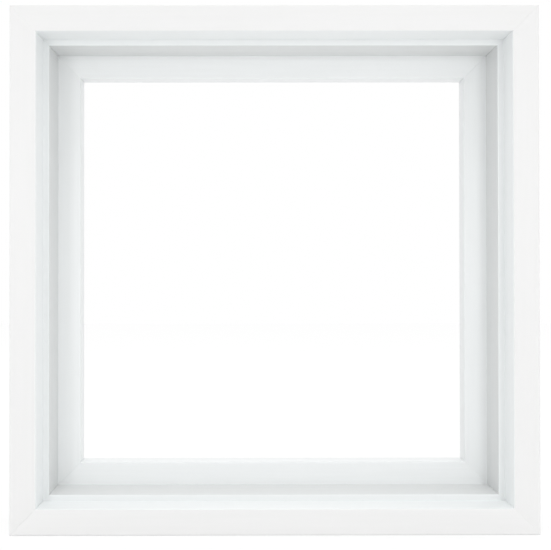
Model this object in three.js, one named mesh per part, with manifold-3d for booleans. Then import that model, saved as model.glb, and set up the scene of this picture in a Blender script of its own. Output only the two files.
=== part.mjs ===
// A white floating frame for a stretched canvas: four mitred lengths of stepped moulding,
// nailed across the mitres from behind, with two strap hangers and two bumpers at the back.
// Millimetres, +Z up. The front faces -Y and the origin is the middle of the bottom face.

import * as THREE from 'three';
import { mergeVertices } from 'three/addons/utils/BufferGeometryUtils.js';
import Module from 'manifold-3d';

const wasm = await Module();
wasm.setup();

// The canvas and the gap that shows round it
const CANVAS_WIDTH = 200;
const CANVAS_HEIGHT = 200;
const FLOAT_GAP = 5;

// Moulding, from its outer face inwards and from its front backwards
const RIM_WIDTH = 12;
const STEP_WIDTH = 3;
const LEDGE_WIDTH = 11;
const STEP_DEPTH = 13;
const MOULDING_DEPTH = 40;
const LEDGE_THICKNESS = 9;
const RIM_ARRIS = 0.8;
const EDGE_ARRIS = 0.5;

// V-nails: bent strips of steel, two to a corner, set just below the back
const NAIL_STRIP = 0.5;
const NAIL_WING = 4.6;
const NAIL_FLARE = 1.1;
const NAIL_FLARE_ANGLE = Math.PI / 4;
const NAIL_SET = 0.3;
const NAIL_COVER = 1.7;
const OUTER_NAIL_INSET = 7;
const INNER_NAIL_SETBACK = 7.5;
const NAIL_CLEARANCE = 0.3;

// D-ring: round wire with its two ends meeting inside the strap's loop
const WIRE_RADIUS = 1.1;
const RING_WIDTH = 16;
const RING_REACH = 14;
const RING_CORNER = 2.5;
const RING_END_GAP = 0.4;

// Strap: sheet steel folded round the ring and laid double under one screw
const SHEET = 0.8;
const STRAP_WIDTH = 10;
const LOOP_CLEARANCE = 0.35;
const LOOP_FILLET = 1;
const SCREW_DROP = 7.5;
const HANGER_DROP = 60;
const HANGER_WALL = 4;

// Pan-head screw with a cross recess
const SHANK_RADIUS = 1.5;
const SHANK_LENGTH = 14;
const POINT_LENGTH = 3;
const HEAD_RADIUS = 3.5;
const HEAD_HEIGHT = 2.2;
const HEAD_EDGE = 0.8;
const HEAD_CROWN = 1.6;
const RECESS_LENGTH = 3.6;
const RECESS_WIDTH = 0.9;
const RECESS_DEPTH = 1.2;
const PILOT_CLEARANCE = 0.3;
const STRAP_HOLE_CLEARANCE = 0.5;

// Bumpers
const BUMPER_RADIUS = 5;
const BUMPER_HEIGHT = 2.5;
const BUMPER_EDGE = 0.8;
const BUMPER_INSET = 9;
const BUMPER_SIDE = 36;

// Counts that set how finely round forms are cut
const ARRIS_SEGMENTS = 2;
const LOOP_SEGMENTS = 8;
const WIRE_SIDES = 12;
const RING_STEPS = 52;
const TURNED_SIDES = 24;
const DOME_SEGMENTS = 3;

// Length by which a cutting tool runs past the face that it opens
const OVERRUN = 1;

// Sizes that follow from those above
const wallInset = RIM_WIDTH + STEP_WIDTH;
const backWidth = wallInset + LEDGE_WIDTH;
const frameWidth = CANVAS_WIDTH + 2 * (FLOAT_GAP + wallInset);
const frameHeight = CANVAS_HEIGHT + 2 * (FLOAT_GAP + wallInset);
const back = MOULDING_DEPTH / 2;
const ledgeDepth = MOULDING_DEPTH - LEDGE_THICKNESS;
const nailHeight = LEDGE_THICKNESS - NAIL_SET - NAIL_COVER;
const loopBore = WIRE_RADIUS + LOOP_CLEARANCE;
const loopRadius = loopBore + SHEET;
const strapThickness = 2 * SHEET;

const lacquer = new THREE.MeshStandardMaterial({ color: '#f2f4f3', roughness: 0.45, metalness: 0 });
const zinc = new THREE.MeshStandardMaterial({ color: '#b8bbbd', roughness: 0.35, metalness: 1 });
const softPlastic = new THREE.MeshStandardMaterial({ color: '#dde1e1', roughness: 0.5, metalness: 0 });

// A geometry as a solid that can be cut and joined.
function toSolid(geometry) {
  const bare = geometry.clone();
  bare.deleteAttribute('normal');
  bare.deleteAttribute('uv');
  const merged = mergeVertices(bare, 1e-4);
  return new wasm.Manifold(new wasm.Mesh({
    numProp: 3,
    vertProperties: Float32Array.from(merged.attributes.position.array),
    triVerts: Uint32Array.from(merged.index.array),
  }));
}

function toGeometry(solid) {
  const mesh = solid.getMesh();
  const geometry = new THREE.BufferGeometry();
  geometry.setAttribute('position', new THREE.BufferAttribute(mesh.vertProperties, 3));
  geometry.setIndex(new THREE.BufferAttribute(mesh.triVerts, 1));
  geometry.computeVertexNormals();
  return geometry;
}

// Takes the tool's shape out of a piece, each where it stands in the frame.
function cutAway(piece, tool) {
  piece.updateWorldMatrix(true, false);
  tool.updateWorldMatrix(true, false);
  const toPiece = piece.matrixWorld.clone().invert().multiply(tool.matrixWorld);
  const cutter = tool.geometry.clone().applyMatrix4(toPiece);
  piece.geometry = toGeometry(toSolid(piece.geometry).subtract(toSolid(cutter)));
}

function addPiece(parent, name, geometry, material) {
  const piece = new THREE.Mesh(geometry, material);
  piece.name = name;
  parent.add(piece);
  return piece;
}

function addGroup(parent, x, y, z, turn = 0) {
  const group = new THREE.Group();
  group.position.set(x, y, z);
  group.rotation.y = turn;
  parent.add(group);
  return group;
}

// Closed outline through right-angled corners, each rounded to its own radius.
function roundedOutline(corners) {
  const outline = new THREE.Shape();
  corners.forEach(({ at, radius }, i) => {
    const before = corners.at(i - 1).at.clone().sub(at).normalize();
    const after = corners[(i + 1) % corners.length].at.clone().sub(at).normalize();
    const centre = at.clone().addScaledVector(before, radius).addScaledVector(after, radius);
    const start = after.clone().negate().angle();
    const end = before.clone().negate().angle();
    if (radius > 0) {
      outline.absarc(centre.x, centre.y, radius, start, end, before.cross(after) > 0);
    } else if (i > 0) {
      outline.lineTo(at.x, at.y);
    } else {
      outline.moveTo(at.x, at.y);
    }
  });
  return outline;
}

// Section of the moulding: x is the inset from the outer face, y the depth behind the front.
function mouldingSection() {
  const corner = (x, y, radius) => ({ at: new THREE.Vector2(x, y), radius });
  return roundedOutline([
    corner(0, 0, RIM_ARRIS),
    corner(RIM_WIDTH, 0, EDGE_ARRIS),
    corner(RIM_WIDTH, STEP_DEPTH, 0),
    corner(wallInset, STEP_DEPTH, EDGE_ARRIS),
    corner(wallInset, ledgeDepth, 0),
    corner(backWidth, ledgeDepth, EDGE_ARRIS),
    corner(backWidth, MOULDING_DEPTH, EDGE_ARRIS),
    corner(0, MOULDING_DEPTH, EDGE_ARRIS),
  ]);
}

// One length of moulding, lying along X with its outer face down and both ends mitred:
// a strand at inset u is cut u shorter at each end.
function railGeometry(length) {
  const geometry = new THREE.ExtrudeGeometry(mouldingSection(), {
    depth: 2,
    bevelEnabled: false,
    curveSegments: ARRIS_SEGMENTS,
  });
  const position = geometry.attributes.position;
  for (let i = 0; i < position.count; i += 1) {
    const inset = position.getX(i);
    const depth = position.getY(i);
    const end = 1 - position.getZ(i);
    position.setXYZ(i, end * (length / 2 - inset), depth - back, inset);
  }
  return geometry;
}

// Outline of a bent strip: its centre line moved half a thickness to each side, mitred at the
// bends and made longer at both ends.
function stripOutline(line, half, extension) {
  const points = line.map((point) => point.clone());
  const last = points.length - 1;
  points[0].add(line[0].clone().sub(line[1]).setLength(extension));
  points[last].add(line[last].clone().sub(line[last - 1]).setLength(extension));
  const side = (sign) => points.map((point, i) => {
    const into = point.clone().sub(points[Math.max(i - 1, 0)]);
    const onward = points[Math.min(i + 1, last)].clone().sub(point);
    const entry = (i === 0 ? onward : into).clone().normalize();
    const exit = (i === last ? into : onward).clone().normalize();
    const across = new THREE.Vector2(-entry.y - exit.y, entry.x + exit.x);
    const reach = (sign * half * 2) / across.lengthSq();
    return point.clone().addScaledVector(across, reach);
  });
  return new THREE.Shape([...side(-1), ...side(1).reverse()]);
}

// A V-nail or, grown by the clearance, its slot. Both wings run inwards along a rail from the
// apex on the mitre, and their tips flare outwards. The strip stands along Y, top end at the back.
function nailGeometry(growth, bottom, top) {
  const tip = NAIL_WING + NAIL_FLARE * Math.cos(NAIL_FLARE_ANGLE);
  const flare = -NAIL_FLARE * Math.sin(NAIL_FLARE_ANGLE);
  const line = [
    new THREE.Vector2(tip, flare),
    new THREE.Vector2(NAIL_WING, 0),
    new THREE.Vector2(0, 0),
    new THREE.Vector2(0, NAIL_WING),
    new THREE.Vector2(flare, tip),
  ];
  const outline = stripOutline(line, NAIL_STRIP / 2 + growth, growth);
  const geometry = new THREE.ExtrudeGeometry(outline, { depth: top - bottom, bevelEnabled: false });
  geometry.rotateX(Math.PI / 2);
  geometry.translate(0, top, 0);
  return geometry;
}

// Side view of the strap: x is up the frame, y is out from the back. The sheet lies double, then
// opens into a round loop that touches the wood, with a fillet where the two layers part.
function strapSideOutline(length) {
  const filletUp = strapThickness + LOOP_FILLET;
  const spread = loopRadius + LOOP_FILLET;
  const filletAlong = -Math.sqrt(spread ** 2 - (filletUp - loopRadius) ** 2);
  const meeting = Math.atan2(filletUp - loopRadius, filletAlong);
  const outline = new THREE.Shape();
  outline.moveTo(-length, 0);
  outline.absarc(0, loopRadius, loopRadius, -Math.PI / 2, meeting, false);
  outline.absarc(filletAlong, filletUp, LOOP_FILLET, meeting - Math.PI, -Math.PI / 2, true);
  outline.lineTo(-length, strapThickness);
  const bore = new THREE.Path();
  bore.absarc(0, loopRadius, loopBore, 0, 2 * Math.PI, false);
  outline.holes.push(bore);
  return outline;
}

// The strap seen from behind: straight sides and a round end about the screw.
function strapPlanOutline() {
  const half = STRAP_WIDTH / 2;
  const outline = new THREE.Shape();
  outline.moveTo(half, loopRadius + OVERRUN);
  outline.lineTo(-half, loopRadius + OVERRUN);
  outline.absarc(0, -SCREW_DROP, half, -Math.PI, 0, false);
  return outline;
}

function strapGeometry() {
  const length = SCREW_DROP + STRAP_WIDTH / 2 + OVERRUN;
  const side = new THREE.ExtrudeGeometry(strapSideOutline(length), {
    depth: STRAP_WIDTH,
    bevelEnabled: false,
    curveSegments: LOOP_SEGMENTS,
  });
  side.translate(0, 0, -STRAP_WIDTH / 2);
  side.rotateY(-Math.PI / 2);
  const height = 2 * (loopRadius + OVERRUN);
  const plan = new THREE.ExtrudeGeometry(strapPlanOutline(), {
    depth: height,
    bevelEnabled: false,
    curveSegments: LOOP_SEGMENTS,
  });
  plan.rotateX(Math.PI / 2);
  plan.translate(0, height - OVERRUN, 0);
  return toGeometry(toSolid(side).intersect(toSolid(plan)));
}

// A round hole's tool, along Y from its bottom to its top.
function drillGeometry(radius, bottom, top) {
  const geometry = new THREE.CylinderGeometry(radius, radius, top - bottom, TURNED_SIDES);
  geometry.translate(0, (top + bottom) / 2, 0);
  return geometry;
}

// A flat path set upright, as the centre line of a bent wire.
class WireLine extends THREE.Curve {
  constructor(path) {
    super();
    this.path = path;
  }

  getPoint(t, target = new THREE.Vector3()) {
    const point = this.path.getPoint(t);
    return target.set(point.x, 0, point.y);
  }
}

// The D: a straight bar on the hinge line, two small corners, two legs and a half-round bow.
function ringGeometry() {
  const half = RING_WIDTH / 2;
  const legEnd = half - RING_REACH;
  const path = new THREE.Path();
  path.moveTo(RING_END_GAP / 2, 0);
  path.lineTo(half - RING_CORNER, 0);
  path.absarc(half - RING_CORNER, -RING_CORNER, RING_CORNER, Math.PI / 2, 0, true);
  path.lineTo(half, legEnd);
  path.absarc(0, legEnd, half, 0, -Math.PI, true);
  path.lineTo(-half, -RING_CORNER);
  path.absarc(RING_CORNER - half, -RING_CORNER, RING_CORNER, Math.PI, Math.PI / 2, true);
  path.lineTo(-RING_END_GAP / 2, 0);
  const section = new THREE.Shape();
  section.absarc(0, 0, WIRE_RADIUS, 0, 2 * Math.PI, false);
  return new THREE.ExtrudeGeometry(section, {
    steps: RING_STEPS,
    curveSegments: WIRE_SIDES / 2,
    bevelEnabled: false,
    extrudePath: new WireLine(path),
  });
}

// A screw turned about Y, its head seated at zero height, with two crossed slots in the head.
function screwGeometry() {
  const profile = new THREE.Path();
  profile.moveTo(0, -SHANK_LENGTH);
  profile.lineTo(SHANK_RADIUS, POINT_LENGTH - SHANK_LENGTH);
  profile.lineTo(SHANK_RADIUS, 0);
  profile.lineTo(HEAD_RADIUS, 0);
  profile.lineTo(HEAD_RADIUS, HEAD_EDGE);
  profile.quadraticCurveTo(HEAD_RADIUS, HEAD_HEIGHT, HEAD_CROWN, HEAD_HEIGHT);
  profile.lineTo(0, HEAD_HEIGHT);
  let solid = toSolid(new THREE.LatheGeometry(profile.getPoints(DOME_SEGMENTS), TURNED_SIDES));
  for (const turn of [0, Math.PI / 2]) {
    const slot = new THREE.BoxGeometry(RECESS_LENGTH, 2 * RECESS_DEPTH, RECESS_WIDTH);
    slot.rotateY(turn);
    slot.translate(0, HEAD_HEIGHT, 0);
    solid = solid.subtract(toSolid(slot));
  }
  return toGeometry(solid);
}

// A round pad with a short straight edge and a domed top, turned about Y.
function bumperGeometry() {
  const profile = new THREE.Path();
  profile.moveTo(0, 0);
  profile.lineTo(BUMPER_RADIUS, 0);
  profile.absellipse(0, BUMPER_EDGE, BUMPER_RADIUS, BUMPER_HEIGHT - BUMPER_EDGE, 0, Math.PI / 2, false, 0);
  return new THREE.LatheGeometry(profile.getPoints(DOME_SEGMENTS), TURNED_SIDES);
}

// The two nails of one corner, each driven into a slot through both rails that meet there.
function addCornerNails(corner, name, rails) {
  const insets = { outer: OUTER_NAIL_INSET, inner: backWidth - INNER_NAIL_SETBACK };
  const top = back - NAIL_SET;
  const bottom = top - nailHeight;
  for (const [place, inset] of Object.entries(insets)) {
    const seat = addGroup(corner, inset, 0, inset);
    addPiece(seat, `${name}_${place}_v_nail`, nailGeometry(0, bottom, top), zinc);
    const slotGeometry = nailGeometry(NAIL_CLEARANCE, bottom - NAIL_CLEARANCE, back + OVERRUN);
    const slot = addPiece(seat, 'slot', slotGeometry, zinc);
    rails.forEach((rail) => cutAway(rail, slot));
    slot.removeFromParent();
  }
}

// Strap, ring and screw on one side rail, placed about the ring's hinge line.
function addHanger(frame, name, x, rail) {
  const hanger = addGroup(frame, x, back, frameHeight - HANGER_DROP);
  const strap = addPiece(hanger, `${name}_hanger_strap`, strapGeometry(), zinc);
  const ring = addPiece(hanger, `${name}_d_ring`, ringGeometry(), zinc);
  ring.position.y = loopRadius;
  const screwSeat = addGroup(hanger, 0, strapThickness, -SCREW_DROP);
  addPiece(screwSeat, `${name}_hanger_screw`, screwGeometry(), zinc);

  const strapHole = drillGeometry(SHANK_RADIUS + STRAP_HOLE_CLEARANCE, -strapThickness - OVERRUN, OVERRUN);
  const pilotHole = drillGeometry(SHANK_RADIUS + PILOT_CLEARANCE, -SHANK_LENGTH - PILOT_CLEARANCE, OVERRUN);
  for (const [piece, hole] of [[strap, strapHole], [rail, pilotHole]]) {
    const drill = addPiece(screwSeat, 'drill', hole, zinc);
    cutAway(piece, drill);
    drill.removeFromParent();
  }
}

const frame = new THREE.Group();

const bottomRail = addPiece(frame, 'bottom_rail', railGeometry(frameWidth), lacquer);

const topRail = addPiece(frame, 'top_rail', railGeometry(frameWidth), lacquer);
topRail.position.z = frameHeight;
topRail.rotation.y = Math.PI;

const leftRail = addPiece(frame, 'left_rail', railGeometry(frameHeight), lacquer);
leftRail.position.set(-frameWidth / 2, 0, frameHeight / 2);
leftRail.rotation.y = Math.PI / 2;

const rightRail = addPiece(frame, 'right_rail', railGeometry(frameHeight), lacquer);
rightRail.position.set(frameWidth / 2, 0, frameHeight / 2);
rightRail.rotation.y = -Math.PI / 2;

// Each corner's own X and Z run inwards along its two rails.
const corners = [
  { name: 'bottom_left', x: -frameWidth / 2, z: 0, turn: 0, rails: [bottomRail, leftRail] },
  { name: 'top_left', x: -frameWidth / 2, z: frameHeight, turn: Math.PI / 2, rails: [leftRail, topRail] },
  { name: 'top_right', x: frameWidth / 2, z: frameHeight, turn: Math.PI, rails: [topRail, rightRail] },
  { name: 'bottom_right', x: frameWidth / 2, z: 0, turn: -Math.PI / 2, rails: [rightRail, bottomRail] },
];
for (const { name, x, z, turn, rails } of corners) {
  addCornerNails(addGroup(frame, x, 0, z, turn), name, rails);
}

const hangerOffset = frameWidth / 2 - wallInset + HANGER_WALL;
addHanger(frame, 'left', -hangerOffset, leftRail);
addHanger(frame, 'right', hangerOffset, rightRail);

const bumperOffset = frameWidth / 2 - BUMPER_SIDE;
for (const [name, x] of [['left_bumper', -bumperOffset], ['right_bumper', bumperOffset]]) {
  const bumper = addPiece(frame, name, bumperGeometry(), softPlastic);
  bumper.position.set(x, back, BUMPER_INSET);
}

export default frame;
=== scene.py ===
import math

import bmesh
import bpy
import numpy as np
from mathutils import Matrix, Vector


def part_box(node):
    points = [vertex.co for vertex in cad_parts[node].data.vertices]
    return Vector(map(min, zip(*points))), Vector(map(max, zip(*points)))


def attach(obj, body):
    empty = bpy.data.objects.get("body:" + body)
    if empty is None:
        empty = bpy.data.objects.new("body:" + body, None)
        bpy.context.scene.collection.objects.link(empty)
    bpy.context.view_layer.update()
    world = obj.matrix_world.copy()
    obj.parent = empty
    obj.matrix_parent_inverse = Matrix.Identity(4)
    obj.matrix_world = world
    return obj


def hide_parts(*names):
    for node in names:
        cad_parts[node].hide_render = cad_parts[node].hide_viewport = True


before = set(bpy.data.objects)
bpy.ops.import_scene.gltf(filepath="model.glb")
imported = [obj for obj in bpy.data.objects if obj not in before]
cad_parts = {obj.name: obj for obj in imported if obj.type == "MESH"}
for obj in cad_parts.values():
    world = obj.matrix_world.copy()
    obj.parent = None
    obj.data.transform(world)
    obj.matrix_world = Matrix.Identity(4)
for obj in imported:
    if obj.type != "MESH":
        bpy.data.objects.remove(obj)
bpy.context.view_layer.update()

# The four rails are lengths of one stepped wooden moulding, mitred and glued at the corners. A flat
# rim shows in front, then a short wall, a narrow step, a deeper wall and the ledge that a canvas
# sits on. They are sanded a little round along every edge and sprayed with satin white lacquer.

rail_low, rail_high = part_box("bottom_rail")
FRONT = rail_low.y
MOULDING_DEPTH = rail_high.y - rail_low.y
BACK_WIDTH = rail_high.z - rail_low.z
SIDE = rail_high.x
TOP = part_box("top_rail")[1].z
RIM_WIDTH = 0.012
WALL_INSET = 0.015
STEP_DEPTH = 0.013
LEDGE_DEPTH = 0.031
RIM_ARRIS = 0.0008
ARRIS = 0.0005
PAINT_FILLET = 0.00025
LAND = 0.00015
ARC_STEPS = 6
SEAM_STEPS = 4
RAIL_SPANS = 16
SHARP_EDGE = 30


def rounded_section(corners, land, steps):
    """A closed section with quarter-round corners. Each arc is its centre, less r cos t along the
    edge ahead and r sin t along the edge behind, and a short flat land lies on either side of it,
    so that the broad faces shade flat. Returns the points and their outward normals."""
    at, radius = corners[:, :2], corners[:, 2]
    behind = np.roll(at, 1, 0) - at
    behind /= np.linalg.norm(behind, axis=1, keepdims=True)
    ahead = np.roll(at, -1, 0) - at
    ahead /= np.linalg.norm(ahead, axis=1, keepdims=True)
    centre = at + radius[:, None] * (behind + ahead)
    turn = np.linspace(0, np.pi / 2, steps + 1)[None, :, None]
    spoke = -np.cos(turn) * ahead[:, None] - np.sin(turn) * behind[:, None]
    arc_points = centre[:, None] + radius[:, None, None] * spoke
    before = arc_points[:, :1] + land * behind[:, None]
    after = arc_points[:, -1:] + land * ahead[:, None]
    points = np.concatenate([before, arc_points, after], 1).reshape(-1, 2)
    convex = -np.sign(behind[:, 0] * ahead[:, 1] - behind[:, 1] * ahead[:, 0])
    outward = np.concatenate([spoke[:, :1], spoke, spoke[:, -1:]], 1) * convex[:, None, None]
    return points, outward.reshape(-1, 2)


# Inset from the outer face, depth behind the front, and radius of each corner in turn
SECTION_CORNERS = np.array([
    (0, 0, RIM_ARRIS),
    (RIM_WIDTH, 0, ARRIS),
    (RIM_WIDTH, STEP_DEPTH, PAINT_FILLET),
    (WALL_INSET, STEP_DEPTH, ARRIS),
    (WALL_INSET, LEDGE_DEPTH, PAINT_FILLET),
    (BACK_WIDTH, LEDGE_DEPTH, ARRIS),
    (BACK_WIDTH, MOULDING_DEPTH, ARRIS),
    (0, MOULDING_DEPTH, ARRIS),
])
section, section_out = rounded_section(SECTION_CORNERS, LAND, ARC_STEPS)


def rail_points(length, first_seam, last_seam):
    """Each row is the section at one station: x = f (L/2 - u - d sqrt 2), with the fraction f
    running from -1 to 1. Next to each mitre the section shrinks along its normals by r (1 - sin t)
    at a distance d = r (1 - cos t) from it, with that end's seam for r, so the glued joint reads
    as a fine line."""
    turn = np.linspace(0, np.pi / 2, SEAM_STEPS + 1)
    shrink = 1 - np.sin(turn)
    distance = (1 - np.cos(turn)) * math.sqrt(2)
    middle = np.linspace(-1, 1, RAIL_SPANS + 1)[1:-1]
    fraction = np.concatenate([-np.ones(SEAM_STEPS + 1), middle, np.ones(SEAM_STEPS + 1)])
    full = np.full(RAIL_SPANS - 1, distance[-1] * max(first_seam, last_seam))
    distance = np.concatenate([first_seam * distance, full, last_seam * distance[::-1]])
    plain = np.zeros(RAIL_SPANS - 1)
    shrink = np.concatenate([first_seam * shrink, plain, last_seam * shrink[::-1]])
    rows = section[None] - shrink[:, None, None] * section_out[None]
    inset, depth = rows[..., 0], rows[..., 1]
    along = fraction[:, None] * (length / 2 - inset - distance[:, None])
    return np.stack([along, FRONT + depth, inset], -1)


def turned(points, turn, x, z):
    """Points turned about Y by a whole number of quarter turns, and moved to x, z."""
    c, s = round(math.cos(turn * math.pi / 2)), round(math.sin(turn * math.pi / 2))
    across, deep, up = points[..., 0], points[..., 1], points[..., 2]
    return np.stack([x + c * across + s * up, deep, z - s * across + c * up], -1)


def grid_faces(rows, columns):
    """The quads of a grid of points numbered row by row, its last column joined to its first,
    and one face across each end row."""
    column = np.arange(columns)
    row = np.arange(rows - 1)[:, None] * columns
    here, there = row + column, row + (column + 1) % columns
    quads = np.stack([here, there, there + columns, here + columns], -1).reshape(-1, 4)
    last = (rows - 1) * columns
    return [*quads.tolist(), column.tolist(), (last + column).tolist()]


def tidy_shading(piece):
    """Turns every face outwards, shades it smooth, and keeps the sharp edges sharp."""
    surface = bmesh.new()
    surface.from_mesh(piece.data)
    bmesh.ops.remove_doubles(surface, verts=surface.verts, dist=1e-7)
    bmesh.ops.recalc_face_normals(surface, faces=surface.faces)
    surface.to_mesh(piece.data)
    surface.free()
    piece.data.polygons.foreach_set("use_smooth", np.ones(len(piece.data.polygons), bool))
    piece.data.set_sharp_from_angle(angle=math.radians(SHARP_EDGE))


def mesh_object(name, points, faces, materials, face_material=None):
    """A mesh object at the origin from points and faces, with a material number for each face
    where there are several."""
    mesh = bpy.data.meshes.new(name)
    mesh.from_pydata(points.tolist(), [], faces)
    if face_material is not None:
        mesh.polygons.foreach_set("material_index", face_material)
    for material in materials:
        mesh.materials.append(material)
    piece = bpy.data.objects.new(name, mesh)
    bpy.context.scene.collection.objects.link(piece)
    tidy_shading(piece)
    return piece


def shader(name, colour, roughness, metallic=0.0):
    """A new material, its node tree and its Principled shader with constants on its sockets."""
    material = bpy.data.materials.new(name)
    material.use_nodes = True
    tree = material.node_tree
    bsdf = tree.nodes["Principled BSDF"]
    bsdf.inputs["Base Color"].default_value = (*colour, 1)
    bsdf.inputs["Roughness"].default_value = roughness
    bsdf.inputs["Metallic"].default_value = metallic
    return material, tree, bsdf


def noise(tree, size, detail, stretch=(1, 1, 1)):
    """Noise on Object coordinates whose blotches are about size metres across, drawn out by
    stretch along each axis."""
    place = tree.nodes.new("ShaderNodeTexCoord")
    mapping = tree.nodes.new("ShaderNodeMapping")
    mapping.inputs["Scale"].default_value = [1 / (size * s) for s in stretch]
    texture = tree.nodes.new("ShaderNodeTexNoise")
    texture.inputs["Scale"].default_value = 1
    texture.inputs["Detail"].default_value = detail
    tree.links.new(place.outputs["Object"], mapping.inputs["Vector"])
    tree.links.new(mapping.outputs["Vector"], texture.inputs["Vector"])
    return texture.outputs["Fac"]


NOISE_LOW = 0.3
NOISE_HIGH = 0.7


def spread(tree, bsdf, value, low, high):
    """Roughness that runs from low to high as the noise goes from its low to its high end."""
    node = tree.nodes.new("ShaderNodeMapRange")
    node.inputs["From Min"].default_value = NOISE_LOW
    node.inputs["From Max"].default_value = NOISE_HIGH
    node.inputs["To Min"].default_value = low
    node.inputs["To Max"].default_value = high
    tree.links.new(value, node.inputs["Value"])
    tree.links.new(node.outputs["Result"], bsdf.inputs["Roughness"])


def tint(tree, bsdf, value, first, second):
    """A colour that runs from first to second as the noise goes from its low to its high end."""
    node = tree.nodes.new("ShaderNodeValToRGB")
    node.color_ramp.elements[0].position = NOISE_LOW
    node.color_ramp.elements[0].color = (*first, 1)
    node.color_ramp.elements[1].position = NOISE_HIGH
    node.color_ramp.elements[1].color = (*second, 1)
    tree.links.new(value, node.inputs["Fac"])
    tree.links.new(node.outputs["Color"], bsdf.inputs["Base Color"])


def add_bump(tree, bsdf, height, metres, under=None):
    """Raises the surface by up to that many metres where the height is 1, over the bump below."""
    node = tree.nodes.new("ShaderNodeBump")
    node.inputs["Strength"].default_value = 1
    node.inputs["Distance"].default_value = metres
    tree.links.new(height, node.inputs["Height"])
    if under is not None:
        tree.links.new(under, node.inputs["Normal"])
    tree.links.new(node.outputs["Normal"], bsdf.inputs["Normal"])
    return node.outputs["Normal"]


def nibs(tree, apart, radius):
    """Specks of dust under the paint: cones of that radius about the points of a cell pattern
    that is apart wide, 1 at a point and 0 beyond its radius."""
    place = tree.nodes.new("ShaderNodeTexCoord")
    cells = tree.nodes.new("ShaderNodeTexVoronoi")
    cells.inputs["Scale"].default_value = 1 / apart
    tree.links.new(place.outputs["Object"], cells.inputs["Vector"])
    node = tree.nodes.new("ShaderNodeMapRange")
    node.inputs["From Max"].default_value = radius / apart
    node.inputs["To Min"].default_value = 1
    node.inputs["To Max"].default_value = 0
    tree.links.new(cells.outputs["Distance"], node.inputs["Value"])
    return node.outputs["Result"]


LACQUER_SPECULAR = 0.45
GRAIN_SIZE = 0.0014
GRAIN_DETAIL = 5
PEEL_SIZE = 0.0016
PEEL_DETAIL = 2
PATCH_SIZE = 0.004
PATCH_DETAIL = 4
NIB_SPACING = 0.006
NIB_RADIUS = 0.00028
NIB_HEIGHT = 0.00005


def lacquer(name, stretch, light, dark, roughness, peel, grain):
    """White paint: fine streaks of tone drawn out along the rail, with the grain raised in the
    same places, roughness that varies by patches, orange peel, and a few nibs."""
    material, tree, bsdf = shader(name, light, roughness[0])
    bsdf.inputs["Specular IOR Level"].default_value = LACQUER_SPECULAR
    streaks = noise(tree, GRAIN_SIZE, GRAIN_DETAIL, stretch)
    tint(tree, bsdf, streaks, light, dark)
    spread(tree, bsdf, noise(tree, PATCH_SIZE, PATCH_DETAIL), *roughness)
    under = add_bump(tree, bsdf, streaks, grain)
    under = add_bump(tree, bsdf, noise(tree, PEEL_SIZE, PEEL_DETAIL), peel, under)
    add_bump(tree, bsdf, nibs(tree, NIB_SPACING, NIB_RADIUS), NIB_HEIGHT, under)
    return material


# The paint's light and dark tone, its roughness from and to, and the height of its orange peel and
# of the grain under it. The back's thin coat comes first, so that slots and holes take it too.
PAINTS = {
    "back": ((0.815, 0.812, 0.792), (0.780, 0.770, 0.735), (0.5, 0.7), 2e-5, 4e-5),
    "rim": ((0.852, 0.852, 0.850), (0.843, 0.843, 0.840), (0.34, 0.46), 3e-5, 1.5e-5),
    # The short wall, the step and the ledge are painted lighter and cooler than the rim: painted
    # light, with the cool tint of shade in the recess. The step is painted a touch greyer than the
    # short wall, painted shade at its corner.
    "wall": ((0.879, 0.900, 0.904), (0.867, 0.888, 0.890), (0.34, 0.46), 3e-5, 1.5e-5),
    "step": ((0.868, 0.888, 0.891), (0.857, 0.877, 0.879), (0.36, 0.48), 3e-5, 1.5e-5),
    # The deep wall's paint is darker than the rest of the moulding: painted shade for the deep
    # recess.
    "deep": ((0.748, 0.761, 0.760), (0.730, 0.742, 0.741), (0.42, 0.55), 2e-5, 2.5e-5),
    "ledge": ((0.884, 0.902, 0.905), (0.870, 0.888, 0.890), (0.34, 0.46), 3e-5, 1.5e-5),
}
# The paint on each face of the section in turn, from the rim round to the outer face
FACE_PAINTS = ("rim", "wall", "step", "deep", "ledge", "ledge", "back", "rim")
GRAINS = {"across": (30, 1, 1), "upright": (1, 1, 30)}
paints = {
    grain: [lacquer(f"{name}_paint_{grain}", stretch, *values) for name, values in PAINTS.items()]
    for grain, stretch in GRAINS.items()
}
# Half the width of the fine groove along each mitre. The one at the bottom left shows best.
SEAMS = {"bottom_left": 0.00012, "bottom_right": 0.00004, "top_left": 0.00006, "top_right": 0.00008}


def rail(node, length, turn, x, z, grain, first_corner, last_corner):
    """One rail, made along X with its outer face down and turned to its side of the frame. Each
    strip of the section takes the paint of the face that it ends on, and the mitres the back's."""
    rows = rail_points(length, SEAMS[first_corner], SEAMS[last_corner])
    count, around = rows.shape[:2]
    names = list(PAINTS)
    corner_points = ARC_STEPS + 3
    face_of_strip = (np.arange(around) - ARC_STEPS // 2 - 1) // corner_points
    strip_paint = np.array([names.index(paint) for paint in FACE_PAINTS])[face_of_strip]
    mitre_paint = [names.index("back")] * 2
    face_material = np.concatenate([np.tile(strip_paint, count - 1), mitre_paint]).astype(np.int32)
    points = turned(rows, turn, x, z).reshape(-1, 3)
    faces = grid_faces(count, around)
    piece = mesh_object(f"{node}_moulding", points, faces, paints[grain], face_material)
    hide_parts(node)
    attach(piece, "frame")
    return piece


rails = {
    "bottom": rail("bottom_rail", 2 * SIDE, 0, 0, 0, "across", "bottom_left", "bottom_right"),
    "left": rail("left_rail", TOP, 1, -SIDE, TOP / 2, "upright", "top_left", "bottom_left"),
    "top": rail("top_rail", 2 * SIDE, 2, 0, TOP, "across", "top_right", "top_left"),
    "right": rail("right_rail", TOP, 3, SIDE, TOP / 2, "upright", "bottom_right", "top_right"),
}

# The V-nails are strips of hardened steel bent to a right angle, with flared tips. Two are driven
# from behind across each mitre, and stand just below the surface in the slots that they have cut.

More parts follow.
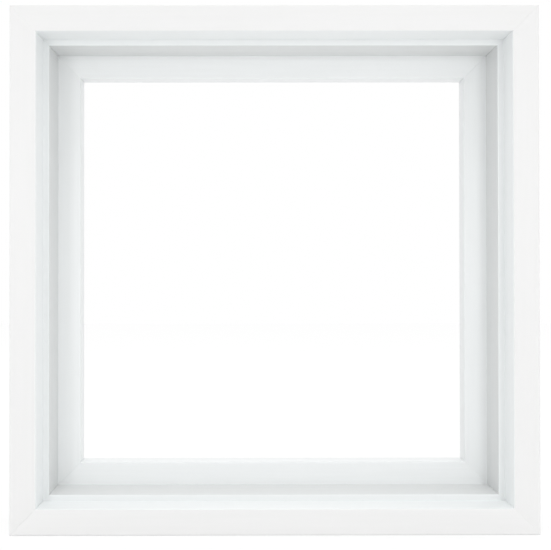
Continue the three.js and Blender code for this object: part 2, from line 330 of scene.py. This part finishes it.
outer_low, outer_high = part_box("bottom_left_outer_v_nail")
inner_low, inner_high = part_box("bottom_left_inner_v_nail")
NAIL_FRONT = outer_low.y
NAIL_BACK = outer_high.y
NAIL_STRIP = 0.0005
NAIL_WING = 0.0046
NAIL_FLARE = 0.0011
NAIL_BEND = 0.0005
NAIL_BEND_STEPS = 5
NAIL_EDGE = 0.00006
NAIL_EDGE_ANGLE = 40
SLOT_MARGIN = 0.0001
DIAGONAL = math.sin(math.pi / 4)
NAIL_REACH = NAIL_WING + (NAIL_FLARE + NAIL_STRIP / 2) * DIAGONAL


def bent_line(points, bend, steps):
    """A line through the points with every bend eased by a parabola, (1-t)^2 a + 2t(1-t) c +
    t^2 b, which leaves the corner c at a and b, a bend's length away on either side."""
    corner = points[1:-1]
    to_before = points[:-2] - corner
    to_after = points[2:] - corner
    a = corner + bend * to_before / np.linalg.norm(to_before, axis=1, keepdims=True)
    b = corner + bend * to_after / np.linalg.norm(to_after, axis=1, keepdims=True)
    t = np.linspace(0, 1, steps + 1)[None, :, None]
    eased = (1 - t) ** 2 * a[:, None] + 2 * t * (1 - t) * corner[:, None] + t ** 2 * b[:, None]
    return np.concatenate([points[:1], eased.reshape(-1, 2), points[-1:]])


def line_normals(line):
    """Unit normals on the left of a line: its direction at each point, averaged over the steps on
    both sides, turned a quarter."""
    step = np.diff(line, axis=0)
    step /= np.linalg.norm(step, axis=1, keepdims=True)
    direction = np.concatenate([step[:1], step[:-1] + step[1:], step[-1:]])
    direction /= np.linalg.norm(direction, axis=1, keepdims=True)
    return np.stack([-direction[:, 1], direction[:, 0]], -1)


def strip_outline(line, half):
    """The closed outline of a strip: its middle line moved half a thickness to both sides."""
    normal = line_normals(line)
    return np.concatenate([line - half * normal, (line + half * normal)[::-1]])


def prism(outline, low, high, axis):
    """The points and faces of an outline carried straight from low to high along an axis."""
    count = len(outline)
    level = np.repeat([low, high], count)
    return np.insert(np.tile(outline, (2, 1)), axis, level, axis=1), grid_faces(2, count)


# Quarter turns, place and two rails of each corner
CORNERS = {
    "bottom_left": (0, -SIDE, 0, ("bottom", "left")),
    "top_left": (1, -SIDE, TOP, ("left", "top")),
    "top_right": (2, SIDE, TOP, ("top", "right")),
    "bottom_right": (3, SIDE, 0, ("right", "bottom")),
}
# How far in from both outer faces each nail's bend lies
NAIL_INSETS = {
    "outer": outer_high.x + SIDE - NAIL_REACH,
    "inner": inner_high.x + SIDE - NAIL_REACH,
}


def nail_piece(name, turn, x, z, inset, margin, low, high, materials):
    """A strip bent to a V whose flared tips run on by the margin, thicker by the margin on both
    sides, and carried from low to high. It is placed in the bottom left corner and turned."""
    flare = (NAIL_FLARE + margin) * DIAGONAL
    bends = np.array([(NAIL_WING, 0), (0, 0), (0, NAIL_WING)])
    tips = np.array([(NAIL_WING + flare, -flare), (-flare, NAIL_WING + flare)])
    line = bent_line(np.concatenate([tips[:1], bends, tips[1:]]), NAIL_BEND, NAIL_BEND_STEPS)
    points, faces = prism(strip_outline(line, NAIL_STRIP / 2 + margin), low, high, 1)
    points += [inset, 0, inset]
    return mesh_object(name, turned(points, turn, x, z), faces, materials)


def boolean(piece, cutter, operation="DIFFERENCE"):
    """Cuts or meets a piece with another solid, keeps the result as its mesh and removes the
    other solid."""
    modifier = piece.modifiers.new("Boolean", "BOOLEAN")
    modifier.operation = operation
    modifier.solver = "EXACT"
    modifier.object = cutter
    bpy.context.view_layer.update()
    evaluated = piece.evaluated_get(bpy.context.evaluated_depsgraph_get())
    mesh = bpy.data.meshes.new_from_object(evaluated)
    piece.modifiers.clear()
    piece.data = mesh
    bpy.data.objects.remove(cutter)
    tidy_shading(piece)


def bevel(piece, width, angle):
    """A live bevel on every edge sharper than that angle."""
    modifier = piece.modifiers.new("Bevel", "BEVEL")
    modifier.width = width
    modifier.segments = 2
    modifier.limit_method = "ANGLE"
    modifier.angle_limit = math.radians(angle)
    modifier.use_clamp_overlap = True


STEEL_DARK = (0.30, 0.305, 0.32)
STEEL_LIGHT = (0.44, 0.44, 0.43)
STEEL_ROUGHNESS = (0.3, 0.5)
STEEL_MOTTLE = 0.0012
STEEL_HAZE = 0.0006
STEEL_SCRATCH = 0.0003
STEEL_SCRATCH_HEIGHT = 0.000005

nail_steel, nail_tree, nail_bsdf = shader("nail_steel", (0.36, 0.37, 0.385), 0.38, 1.0)
tint(nail_tree, nail_bsdf, noise(nail_tree, STEEL_MOTTLE, 4), STEEL_DARK, STEEL_LIGHT)
spread(nail_tree, nail_bsdf, noise(nail_tree, STEEL_HAZE, 3), *STEEL_ROUGHNESS)
nail_scratches = noise(nail_tree, STEEL_SCRATCH, 3, (1, 6, 1))
add_bump(nail_tree, nail_bsdf, nail_scratches, STEEL_SCRATCH_HEIGHT)

for corner, (turn, x, z, sides) in CORNERS.items():
    for place, inset in NAIL_INSETS.items():
        node = f"{corner}_{place}_v_nail"
        shape = (turn, x, z, inset)
        nail = nail_piece(f"{node}_strip", *shape, 0, NAIL_FRONT, NAIL_BACK, [nail_steel])
        bevel(nail, NAIL_EDGE, NAIL_EDGE_ANGLE)
        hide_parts(node)
        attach(nail, "frame")
        slot_front, slot_back = NAIL_FRONT - SLOT_MARGIN, rail_high.y + ARRIS
        for side in sides:
            slot = nail_piece("slot", *shape, SLOT_MARGIN, slot_front, slot_back, [])
            boolean(rails[side], slot)

# The hanger straps are zinc-plated sheet steel, folded round the bar of a D-ring and laid double on
# the wood, so that a fine line shows where the two layers meet. The free end is round about the
# screw that holds it.

strap_low, strap_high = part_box("left_hanger_strap")
screw_low, screw_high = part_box("left_hanger_screw")
HANGER_X = {"left": (screw_low.x + screw_high.x) / 2, "right": -(screw_low.x + screw_high.x) / 2}
SCREW_Z = (screw_low.z + screw_high.z) / 2
SHANK_RADIUS = 0.0015
BACK = strap_low.y
STRAP_HALF = (strap_high.x - strap_low.x) / 2
LOOP_RADIUS = (strap_high.y - strap_low.y) / 2
HINGE_Y = BACK + LOOP_RADIUS
HINGE_Z = strap_high.z - LOOP_RADIUS
SHEET = 0.0008
FOLD_LINE = 0.00003
LOOP_FILLET = 0.001
STRAP_HOLE = SHANK_RADIUS + 0.0004
STRAP_EDGE = 0.00012
STRAP_EDGE_ANGLE = 50
OVERCUT = 0.001
LOOP_STEPS = 40
FILLET_STEPS = 10
TONGUE_STEPS = 48
DRILL_SIDES = 48
ZINC_DARK = (0.53, 0.565, 0.60)
ZINC_LIGHT = (0.63, 0.65, 0.67)
ZINC_ROUGHNESS = (0.14, 0.26)
ZINC_MOTTLE = 0.005
ZINC_HAZE = 0.0009
ZINC_PORE = 0.00025
ZINC_PORE_HEIGHT = 0.000001
ZINC_BRUSH = 0.0002
ZINC_BRUSH_HEIGHT = 0.0000015


def arc(x, y, radius, start, end, steps):
    """Points on a circle about x, y from one angle to another."""
    angle = np.linspace(start, end, steps + 1)
    return np.stack([x + radius * np.cos(angle), y + radius * np.sin(angle)], -1)


def strap_line(end):
    """The middle of the sheet seen from the side, as height over the back and along the frame:
    flat on the wood, round the loop, over a small fillet and back on top of the first layer. The
    fillet's circle touches the loop's, so their centres are the sum of both radii apart."""
    fillet_up = 2 * SHEET + LOOP_FILLET
    fillet_along = -math.sqrt((LOOP_RADIUS + LOOP_FILLET) ** 2 - (fillet_up - LOOP_RADIUS) ** 2)
    meeting = math.atan2(fillet_up - LOOP_RADIUS, fillet_along)
    loop = arc(0, LOOP_RADIUS, LOOP_RADIUS - SHEET / 2, -math.pi / 2, meeting, LOOP_STEPS)
    bend = LOOP_FILLET + SHEET / 2
    bend_start, bend_end = meeting + math.pi, 1.5 * math.pi
    fillet = arc(fillet_along, fillet_up, bend, bend_start, bend_end, FILLET_STEPS)
    line = np.concatenate([[(end, SHEET / 2)], loop, fillet[1:], [(end, 1.5 * SHEET)]])
    return line[:, ::-1]


def lathe(radius, height, sides, x, y, z):
    """The points and faces of a piece turned about Y through x, y, z: each row is x + r cos a,
    y + h and z + r sin a, with one radius for the row or one for each of its sides."""
    angle = np.linspace(0, 2 * np.pi, sides, endpoint=False)[None]
    radius = radius * np.ones((len(height), sides))
    level = height * np.ones((1, sides))
    points = np.stack([x + radius * np.cos(angle), y + level, z + radius * np.sin(angle)], -1)
    return points.reshape(-1, 3), grid_faces(len(points), sides)


def drill(x, radius, low, high):
    """A round cutter along Y at a hanger screw's place."""
    height = np.array([[low], [high]])
    return mesh_object("drill", *lathe(radius, height, DRILL_SIDES, x, 0, SCREW_Z), [])


zinc, zinc_tree, zinc_bsdf = shader("zinc_plate", (0.58, 0.61, 0.64), 0.2, 1.0)
tint(zinc_tree, zinc_bsdf, noise(zinc_tree, ZINC_MOTTLE, 3), ZINC_DARK, ZINC_LIGHT)
spread(zinc_tree, zinc_bsdf, noise(zinc_tree, ZINC_HAZE, 5), *ZINC_ROUGHNESS)
zinc_pores = add_bump(zinc_tree, zinc_bsdf, noise(zinc_tree, ZINC_PORE, 3), ZINC_PORE_HEIGHT)
zinc_brushing = noise(zinc_tree, ZINC_BRUSH, 3, (40, 1, 1))
add_bump(zinc_tree, zinc_bsdf, zinc_brushing, ZINC_BRUSH_HEIGHT, zinc_pores)

for side, x in HANGER_X.items():
    end = SCREW_Z - HINGE_Z - STRAP_HALF - OVERCUT
    outline = strip_outline(strap_line(end), (SHEET - FOLD_LINE) / 2) + [BACK, HINGE_Z]
    # The folded sheet starts too wide, and the strap's plan cuts it to its width
    blank_half = STRAP_HALF + OVERCUT
    folded = prism(outline, x - blank_half, x + blank_half, 0)
    strap = mesh_object(f"{side}_hanger_folded_strap", *folded, [zinc])
    tongue = arc(x, SCREW_Z, STRAP_HALF, -math.pi, 0, TONGUE_STEPS)
    shoulders = [(x + STRAP_HALF, strap_high.z + OVERCUT), (x - STRAP_HALF, strap_high.z + OVERCUT)]
    plan = prism(np.concatenate([tongue, shoulders]), BACK - OVERCUT, strap_high.y + OVERCUT, 1)
    boolean(strap, mesh_object("plan", *plan, []), "INTERSECT")
    boolean(strap, drill(x, STRAP_HOLE, BACK - OVERCUT, HINGE_Y))
    bevel(strap, STRAP_EDGE, STRAP_EDGE_ANGLE)
    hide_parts(f"{side}_hanger_strap")
    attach(strap, "frame")

# The D-rings are round zinc-plated steel wire, bent to a D whose two cut ends meet inside the loop
# of the strap, where the ring swings.

ring_low, ring_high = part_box("left_d_ring")
WIRE_RADIUS = (ring_high.y - ring_low.y) / 2
RING_HALF = (ring_high.x - ring_low.x) / 2 - WIRE_RADIUS
RING_REACH = ring_high.z - ring_low.z - 2 * WIRE_RADIUS
RING_CORNER = 0.0025
RING_CORNER_STEPS = 14
RING_BOW_STEPS = 36
RING_GAP = 0.0002
WIRE_SIDES = 24
WIRE_EDGE = 0.0002
WIRE_EDGE_STEPS = 4


def ring_line():
    """The wire's middle line: half the bar, a corner, a leg, the half-round bow and back."""
    leg = RING_HALF - RING_REACH
    corner_x, corner_z = RING_HALF - RING_CORNER, -RING_CORNER
    corner = arc(corner_x, corner_z, RING_CORNER, math.pi / 2, 0, RING_CORNER_STEPS)
    bow = arc(0, leg, RING_HALF, 0, -math.pi / 2, RING_BOW_STEPS)
    half = np.concatenate([[(RING_GAP, 0)], corner, bow])
    return np.concatenate([half, (half * [-1, 1])[-2::-1]])


def wire(line):
    """A tube about a flat line: r (cos a along the line's normal, sin a out of its plane). Over
    both ends the radius grows by e sin t at a distance e (1 - cos t), a quarter-round edge."""
    normal = line_normals(line)
    direction = np.stack([normal[:, 1], -normal[:, 0]], -1)
    t = np.linspace(0, np.pi / 2, WIRE_EDGE_STEPS + 1)[:-1]
    inward = WIRE_EDGE * (1 - np.cos(t))[:, None]
    end_radius = WIRE_RADIUS - WIRE_EDGE * (1 - np.sin(t))
    first = line[0] + inward * direction[0]
    final = line[-1] - inward[::-1] * direction[-1]
    centre = np.concatenate([first, line[1:-1], final])
    first_out = np.repeat(normal[:1], WIRE_EDGE_STEPS, 0)
    final_out = np.repeat(normal[-1:], WIRE_EDGE_STEPS, 0)
    out = np.concatenate([first_out, normal[1:-1], final_out])
    middle_radius = np.full(len(line) - 2, WIRE_RADIUS)
    radius = np.concatenate([end_radius, middle_radius, end_radius[::-1]])[:, None]
    angle = np.linspace(0, 2 * np.pi, WIRE_SIDES, endpoint=False)[None]
    flat = centre[:, None] + (radius * np.cos(angle))[..., None] * out[:, None]
    points = np.stack([flat[..., 0], radius * np.sin(angle), flat[..., 1]], -1)
    return points.reshape(-1, 3), grid_faces(len(centre), WIRE_SIDES)


for side, x in HANGER_X.items():
    points, faces = wire(ring_line())
    ring = mesh_object(f"{side}_d_ring_wire", points + [x, HINGE_Y, HINGE_Z], faces, [zinc])
    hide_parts(f"{side}_d_ring")
    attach(ring, f"{side}_ring")

# The hanger screws are zinc-plated steel wood screws with a pan head and a cross recess. They are
# driven through the straps into pilot holes in the side rails.

HEAD_RADIUS = (screw_high.x - screw_low.x) / 2
HEAD_HEIGHT = 0.0022
HEAD_SEAT = screw_high.y - HEAD_HEIGHT
HEAD_EDGE = HEAD_HEIGHT * 0.25
HEAD_UNDER = HEAD_RADIUS * 0.6
HEAD_RIM = HEAD_RADIUS * 0.97
HEAD_RIM_RISE = 0.0001
HEAD_CROWN = HEAD_RADIUS * 0.05
HEAD_CORNER = 0.55
HEAD_STEPS = 14
SCREW_TIP = screw_low.y
SCREW_SIDES = 48
THREAD_PITCH = 0.0014
THREAD_CORE = 0.00112
THREAD_ROWS = 150
THREAD_END = -0.0008
THREAD_RIDGE = 0.5
NECK_START = -0.0006
NECK_RADIUS = THREAD_CORE * 1.15
POINT_LENGTH = 0.003
POINT_BLUNT = 0.02
PILOT_MARGIN = 0.00015
RECESS_DEPTH = 0.0013
RECESS_ARM = 0.0019
RECESS_HALF = 0.00045
RECESS_ELBOW = RECESS_HALF * 1.3
RECESS_TAPER = 0.62
RECESS_OVERCUT = 0.0004


def screw_rows():
    """Radius and height over the seat, row by row from the tip: a cone and a shank whose thread
    is a ridge, half a pitch wide, that climbs one pitch in each turn, the flat under the head,
    its short edge, and a dome, r = R cos^0.55 t and h = edge + (H - edge) sin t."""
    height = np.linspace(SCREW_TIP - HEAD_SEAT, THREAD_END, THREAD_ROWS)[:, None]
    taper = np.clip((height - height[0]) / POINT_LENGTH, POINT_BLUNT, 1)
    turn = np.linspace(0, 1, SCREW_SIDES, endpoint=False)[None]
    from_ridge = np.abs((height / THREAD_PITCH - turn) % 1 - 0.5)
    ridge = np.maximum(0, 1 - from_ridge / (THREAD_RIDGE / 2))
    shank = taper * (THREAD_CORE + (SHANK_RADIUS - THREAD_CORE) * ridge)
    t = np.linspace(0, np.pi / 2, HEAD_STEPS)
    dome_radius = HEAD_RADIUS * np.cos(t) ** HEAD_CORNER
    dome_radius[-1] = HEAD_CROWN
    dome = np.stack([dome_radius, HEAD_EDGE + (HEAD_HEIGHT - HEAD_EDGE) * np.sin(t)], -1)
    under = [(NECK_RADIUS, NECK_START), (NECK_RADIUS, 0), (HEAD_UNDER, 0)]
    rim = [(HEAD_RIM, 0), (HEAD_RADIUS, HEAD_RIM_RISE)]
    head = np.concatenate([under, rim, dome])
    radius = np.concatenate([shank, np.repeat(head[:, :1], SCREW_SIDES, 1)])
    return radius, np.concatenate([height, head[:, 1:]])


def cross_recess(x):
    """A cutter shaped as a cross: four arms whose outline shrinks towards the bottom."""
    elbow = (RECESS_ELBOW, RECESS_ELBOW)
    quarter = np.array([(RECESS_ARM, -RECESS_HALF), (RECESS_ARM, RECESS_HALF), elbow])
    spins = [np.array([(c, -s), (s, c)]) for c, s in ((1, 0), (0, 1), (-1, 0), (0, -1))]
    outline = np.concatenate([quarter @ spin.T for spin in spins])
    top = HEAD_SEAT + HEAD_HEIGHT + RECESS_OVERCUT
    bottom = HEAD_SEAT + HEAD_HEIGHT - RECESS_DEPTH
    points, faces = prism(outline, bottom, top, 1)
    points[:len(outline)] *= [RECESS_TAPER, 1, RECESS_TAPER]
    return mesh_object("recess", points + [x, 0, SCREW_Z], faces, [])


for side, x in HANGER_X.items():
    points, faces = lathe(*screw_rows(), SCREW_SIDES, x, HEAD_SEAT, SCREW_Z)
    screw = mesh_object(f"{side}_hanger_pan_screw", points, faces, [zinc])
    boolean(screw, cross_recess(x))
    pilot = drill(x, SHANK_RADIUS + PILOT_MARGIN, SCREW_TIP - PILOT_MARGIN, rail_high.y + ARRIS)
    boolean(rails[side], pilot)
    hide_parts(f"{side}_hanger_screw")
    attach(screw, "frame")

# The bumpers are self-adhesive domes of clear polyurethane. They are pressed onto the foot of the
# back, and keep the frame off the wall.

BUMPER_SIDES = 64
BUMPER_STEPS = 20
BUMPER_SHOULDER = 0.32
BUMPER_CROWN = 0.01
# The foot's points, as shares of the bumper's radius and height
BUMPER_FOOT = [(0.94, 0.02), (0.985, 0.06), (1, 0.14)]
PLASTIC_DARK = (0.965, 0.98, 0.98)
PLASTIC_LIGHT = (0.995, 0.998, 0.995)
PLASTIC_ROUGHNESS = (0.08, 0.16)
PLASTIC_CLOUD = 0.003
PLASTIC_HAZE = 0.0015
PLASTIC_WAVE = 0.002
PLASTIC_WAVE_HEIGHT = 0.00001

bumper_plastic, bumper_tree, bumper_bsdf = shader("bumper_plastic", (0.97, 0.98, 0.98), 0.1)
bumper_bsdf.inputs["Transmission Weight"].default_value = 0.88
bumper_bsdf.inputs["IOR"].default_value = 1.48
bumper_cloud = noise(bumper_tree, PLASTIC_CLOUD, 2)
tint(bumper_tree, bumper_bsdf, bumper_cloud, PLASTIC_DARK, PLASTIC_LIGHT)
spread(bumper_tree, bumper_bsdf, noise(bumper_tree, PLASTIC_HAZE, 3), *PLASTIC_ROUGHNESS)
add_bump(bumper_tree, bumper_bsdf, noise(bumper_tree, PLASTIC_WAVE, 2), PLASTIC_WAVE_HEIGHT)

for node in ("left_bumper", "right_bumper"):
    low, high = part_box(node)
    bumper_radius, bumper_height = (high.x - low.x) / 2, high.y - low.y
    # A narrow adhesive foot, a rounded shoulder, and a crown that is half an ellipse:
    # r = R cos t and h = edge + (H - edge) sin t
    edge = bumper_height * BUMPER_SHOULDER
    t = np.linspace(0, np.pi / 2, BUMPER_STEPS)
    crown = np.stack([bumper_radius * np.cos(t), edge + (bumper_height - edge) * np.sin(t)], -1)
    crown[-1, 0] = bumper_radius * BUMPER_CROWN
    foot = np.array(BUMPER_FOOT) * [bumper_radius, bumper_height]
    profile = np.concatenate([foot, crown])
    middle_x, middle_z = (low.x + high.x) / 2, (low.z + high.z) / 2
    dome = lathe(profile[:, :1], profile[:, 1:], BUMPER_SIDES, middle_x, low.y, middle_z)
    bumper = mesh_object(f"{node}_dome", *dome, [bumper_plastic])
    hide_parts(node)
    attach(bumper, "frame")

# The studio's white floor and surroundings. Both show plain white to the camera and in reflections,
# with the frame's soft shadow on the floor. The surroundings light the frame from all round, and
# most strongly from the top and the back.

FLOOR_HALF = 1.5
FLOOR_GLOW = 0.65
FLOOR_SHADOW = 0.35
FLOOR_WHITE = (0.9, 0.9, 0.9)
ALL_ROUND = 0.21
FROM_RIGHT_BACK_TOP = (0.36, 0.45, 0.71)
FROM_LEFT_FRONT_FLOOR = (0.23, 0.18, 0.0)


def seen(tree):
    """1 for camera, glossy and transmission rays and 0 for others."""
    path = tree.nodes.new("ShaderNodeLightPath")
    total = path.outputs["Is Camera Ray"]
    for kind in ("Is Glossy Ray", "Is Transmission Ray"):
        node = tree.nodes.new("ShaderNodeMath")
        node.operation = "MAXIMUM"
        tree.links.new(total, node.inputs[0])
        tree.links.new(path.outputs[kind], node.inputs[1])
        total = node.outputs[0]
    return total


def lobes(tree, direction, sign, levels):
    """The light from three sides: a level for each axis times how far the direction points along
    sign times that axis, where it does."""
    signed = tree.nodes.new("ShaderNodeVectorMath")
    signed.operation = "SCALE"
    signed.inputs["Scale"].default_value = sign
    tree.links.new(direction, signed.inputs[0])
    ahead = tree.nodes.new("ShaderNodeVectorMath")
    ahead.operation = "MAXIMUM"
    ahead.inputs[1].default_value = (0, 0, 0)
    tree.links.new(signed.outputs[0], ahead.inputs[0])
    level = tree.nodes.new("ShaderNodeVectorMath")
    level.operation = "DOT_PRODUCT"
    level.inputs[1].default_value = levels
    tree.links.new(ahead.outputs[0], level.inputs[0])
    return level.outputs["Value"]


floor_material, floor_tree, floor_bsdf = shader("floor_white", FLOOR_WHITE, 0.9)
floor_shadow = floor_tree.nodes.new("ShaderNodeBsdfDiffuse")
floor_shadow.inputs["Color"].default_value = (FLOOR_SHADOW, FLOOR_SHADOW, FLOOR_SHADOW, 1)
floor_glow = floor_tree.nodes.new("ShaderNodeEmission")
floor_glow.inputs["Color"].default_value = (1, 1, 1, 1)
floor_glow.inputs["Strength"].default_value = FLOOR_GLOW
floor_shown = floor_tree.nodes.new("ShaderNodeAddShader")
floor_tree.links.new(floor_shadow.outputs[0], floor_shown.inputs[0])
floor_tree.links.new(floor_glow.outputs[0], floor_shown.inputs[1])
floor_mix = floor_tree.nodes.new("ShaderNodeMixShader")
floor_tree.links.new(seen(floor_tree), floor_mix.inputs["Fac"])
floor_tree.links.new(floor_bsdf.outputs[0], floor_mix.inputs[1])
floor_tree.links.new(floor_shown.outputs[0], floor_mix.inputs[2])
floor_surface = floor_tree.nodes["Material Output"].inputs["Surface"]
floor_tree.links.new(floor_mix.outputs[0], floor_surface)
floor_corners = np.array([(-1, -1, 0), (1, -1, 0), (1, 1, 0), (-1, 1, 0)]) * FLOOR_HALF
floor = mesh_object("floor", floor_corners, [(0, 1, 2, 3)], [floor_material])

world = bpy.data.worlds.new("studio")
bpy.context.scene.world = world
world.use_nodes = True
studio = world.node_tree
backdrop = studio.nodes["Background"]
backdrop.inputs["Color"].default_value = (1, 1, 1, 1)
backdrop.inputs["Strength"].default_value = 1
fill = studio.nodes.new("ShaderNodeBackground")
fill.inputs["Color"].default_value = (1, 1, 1, 1)
direction = studio.nodes.new("ShaderNodeTexCoord").outputs["Generated"]
sides_light = studio.nodes.new("ShaderNodeMath")
studio.links.new(lobes(studio, direction, 1, FROM_RIGHT_BACK_TOP), sides_light.inputs[0])
studio.links.new(lobes(studio, direction, -1, FROM_LEFT_FRONT_FLOOR), sides_light.inputs[1])
all_light = studio.nodes.new("ShaderNodeMath")
all_light.inputs[1].default_value = ALL_ROUND
studio.links.new(sides_light.outputs[0], all_light.inputs[0])
studio.links.new(all_light.outputs[0], fill.inputs["Strength"])
studio_mix = studio.nodes.new("ShaderNodeMixShader")
studio.links.new(seen(studio), studio_mix.inputs["Fac"])
studio.links.new(fill.outputs[0], studio_mix.inputs[1])
studio.links.new(backdrop.outputs[0], studio_mix.inputs[2])
studio.links.new(studio_mix.outputs[0], studio.nodes["World Output"].inputs["Surface"])

# Five soft boxes: two narrow ones in front of the frame, to its left and right, whose light leaves
# soft shadows along the side ledges, a wide one high above its front edge, and two slim ones far
# out on either side, almost level with its front, whose light passes over the deep inner walls.


def soft_box(name, x, y, z, wide, tall, watts):
    """A rectangular area lamp aimed at the middle of the frame."""
    light = bpy.data.lights.new(name, "AREA")
    light.shape = "RECTANGLE"
    light.size = wide
    light.size_y = tall
    light.energy = watts
    holder = bpy.data.objects.new(name, light)
    holder.location = (x, y, z)
    aim = np.array([0, 0, TOP / 2]) - [x, y, z]
    yaw = math.atan2(-aim[0], aim[1])
    pitch = math.atan2(aim[2], math.hypot(aim[0], aim[1]))
    holder.rotation_euler = (math.pi / 2 + pitch, 0, yaw)
    bpy.context.scene.collection.objects.link(holder)


# The place, width, height and watts of each box
SOFT_BOXES = {
    "left_box": (-0.574, -1.45, 0.3, 0.15, 0.3, 1.56),
    "right_box": (0.36, -1.45, 0.3, 0.235, 0.3, 1.95),
    "top_box": (0.0, -0.5, 1.5, 0.6, 0.6, 3.0),
    "left_side_box": (-1.4, -0.08, 0.25, 0.09, 0.4, 1.14),
    "right_side_box": (1.4, -0.08, 0.25, 0.09, 0.4, 0.84),
}
for name, values in SOFT_BOXES.items():
    soft_box(name, *values)

# The camera stands square to the frame, a little left of its middle. Its place and lens are those
# at which the rim, the step, the ledge and the opening have the perspective of the photograph.

camera_data = bpy.data.cameras.new("camera")
camera_data.lens = 52.41
camera_data.sensor_width = 36
camera_data.shift_x = 0.0517
camera_data.shift_y = -0.0129
camera = bpy.data.objects.new("camera", camera_data)
camera.location = (-0.0132, -0.3823, 0.1184)
camera.rotation_euler = np.radians([90.372, 0.057, -0.103])
bpy.context.scene.collection.objects.link(camera)
bpy.context.scene.camera = camera
bpy.context.scene.view_settings.view_transform = "Standard"
